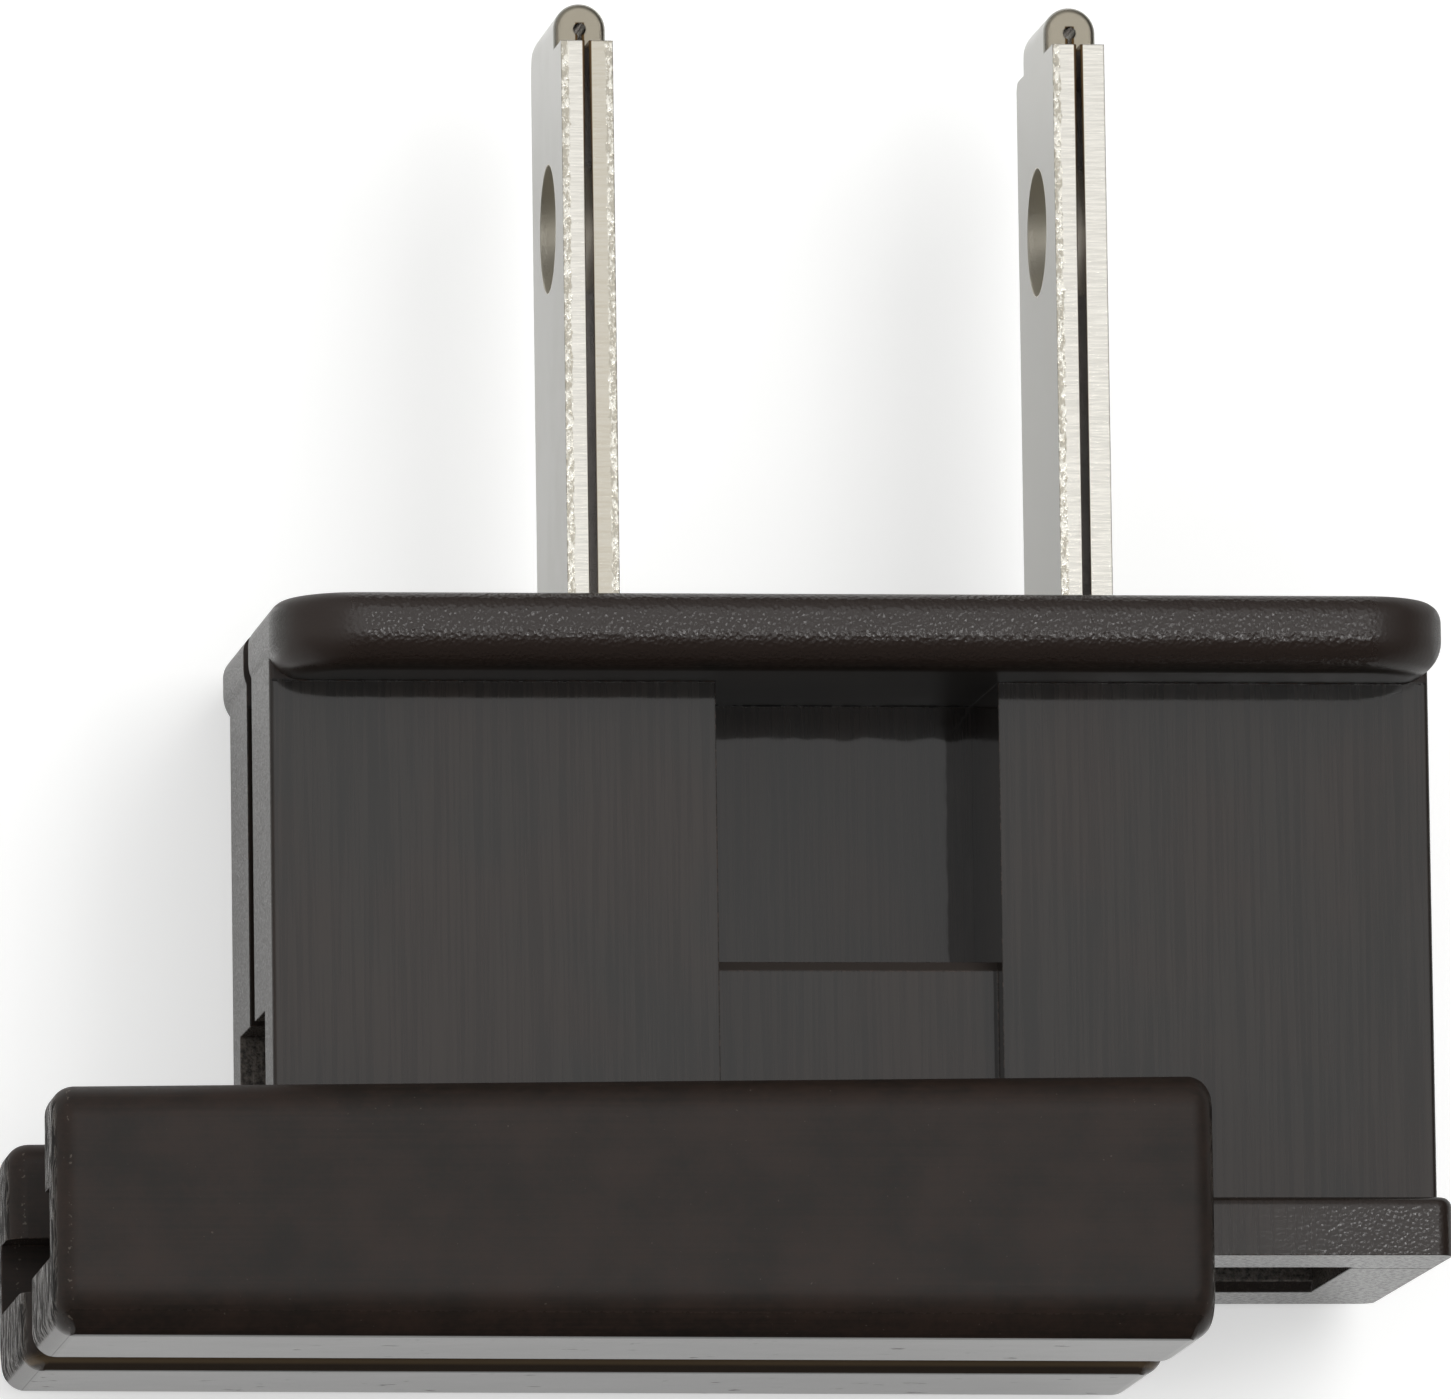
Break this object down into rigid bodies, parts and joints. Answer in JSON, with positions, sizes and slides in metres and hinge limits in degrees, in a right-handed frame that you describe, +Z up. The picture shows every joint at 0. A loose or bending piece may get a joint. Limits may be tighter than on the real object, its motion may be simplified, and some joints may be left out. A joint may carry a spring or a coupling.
{
  "type": "straight blade plug",
  "caption": "Quick-connect plug with flat folded blades, a flanged moulded body and a hooked cover that slides along a rail to clamp a flat cord.",
  "frame": {"origin": "centre of the plug's face, midway between the blades and midway through the depth", "axes": "+Y out of the face along the blades, +X along the plug towards the closed end of its cord channel, +Z up from the surface that it lies on"},
  "size_m": [0.0358, 0.0351, 0.0154],
  "materials": {
    "body_plastic": "dark brown moulded plastic",
    "cover_plastic": "dark brown moulded plastic",
    "blade_plating": "nickel-plated folded brass strip"
  },
  "bodies": {
    "plug": {"body_front": "body_plastic", "body_rear": "body_plastic", "left_blade": "blade_plating", "right_blade": "blade_plating"},
    "cover": {"slide_cover": "cover_plastic"}
  },
  "joints": [
    {"name": "cover_slide", "type": "slide", "parent": "plug", "child": "cover", "axis": [1, 0, 0], "range_m": [-0.0233, 0.006]}
  ]
}
